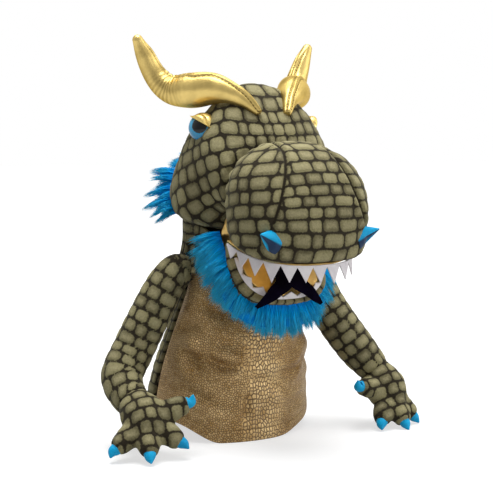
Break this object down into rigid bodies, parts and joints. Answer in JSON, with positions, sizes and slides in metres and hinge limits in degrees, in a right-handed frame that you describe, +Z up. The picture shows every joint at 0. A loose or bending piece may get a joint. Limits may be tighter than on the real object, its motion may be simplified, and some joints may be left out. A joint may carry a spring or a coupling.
{
  "type": "hand puppet",
  "caption": "Stuffed dragon hand puppet: cloth sleeve for the arm, head with a finger pocket, hinged lower jaw worked by the thumb, horns, fur ruff and soft arms with claws.",
  "frame": {"origin": "middle of the sleeve's open hem, on the plane that the hem rests on", "axes": "+Z up, the face looks along -Y, the puppet's left arm is on +X"},
  "size_m": [0.2858, 0.1993, 0.331],
  "materials": {
    "scale_plush": "printed short-pile plush",
    "crackle_cloth": "metallic crackle foil on cloth",
    "copper_satin": "satin",
    "stuffing": "polyester fibre",
    "stiff_card": "grey-brown card",
    "gold_lame": "metallic woven cloth",
    "white_felt": "felt",
    "navy_felt": "felt",
    "blue_fur": "long-pile fur",
    "blue_satin": "satin",
    "eye_blue": "glossy",
    "eye_black": "glossy",
    "washer_plastic": "plain"
  },
  "bodies": {
    "sleeve": {"belly_panel": "crackle_cloth", "back_panel": "scale_plush", "sleeve_lining": "copper_satin", "hem_facing": "copper_satin"},
    "neck": {"neck_tube": "scale_plush"},
    "head": {"head_cover": "scale_plush", "snout_cover": "scale_plush", "crown_stuffing": "stuffing", "snout_stuffing": "stuffing", "finger_pocket": "copper_satin", "palate_board": "stiff_card", "palate_lining": "gold_lame", "upper_teeth": "white_felt", "mouth_fold": "gold_lame", "horn_right": "gold_lame", "horn_left": "gold_lame", "eye_right": "eye_blue", "eye_left": "eye_blue", "pupil_right": "eye_black", "pupil_left": "eye_black", "eye_washers": "washer_plastic", "eyelid_right": "gold_lame", "eyelid_left": "gold_lame", "nostril_right": "blue_satin", "nostril_left": "blue_satin", "mane_fur": "blue_fur"},
    "jaw": {"jaw_cover": "scale_plush", "jaw_board": "stiff_card", "mouth_floor": "gold_lame", "lower_teeth": "white_felt", "tongue": "navy_felt", "thumb_pocket": "copper_satin", "beard_fur": "blue_fur"},
    "arm_right": {"arm_right": "scale_plush", "hand_right": "scale_plush", "claws_right": "blue_satin"},
    "arm_left": {"arm_left": "scale_plush", "hand_left": "scale_plush", "claws_left": "blue_satin"}
  },
  "joints": [
    {"name": "neck_turn", "type": "hinge", "parent": "sleeve", "child": "neck", "pos_m": [0, -0.022, 0.158], "axis": [0, 0, 1], "range_deg": [-16, 16]},
    {"name": "head_nod", "type": "hinge", "parent": "neck", "child": "head", "pos_m": [0, -0.022, 0.176], "axis": [1, 0, 0], "range_deg": [-18, 3]},
    {"name": "jaw_open", "type": "hinge", "parent": "head", "child": "jaw", "pos_m": [0, -0.073, 0.17], "axis": [1, 0, 0], "range_deg": [-34, 3]},
    {"name": "arm_right_swing", "type": "hinge", "parent": "sleeve", "child": "arm_right", "pos_m": [-0.0506, -0.02, 0.139], "axis": [1, 0, 0], "range_deg": [-50, 10]},
    {"name": "arm_left_swing", "type": "hinge", "parent": "sleeve", "child": "arm_left", "pos_m": [0.0506, -0.02, 0.139], "axis": [1, 0, 0], "range_deg": [-50, 10]}
  ]
}
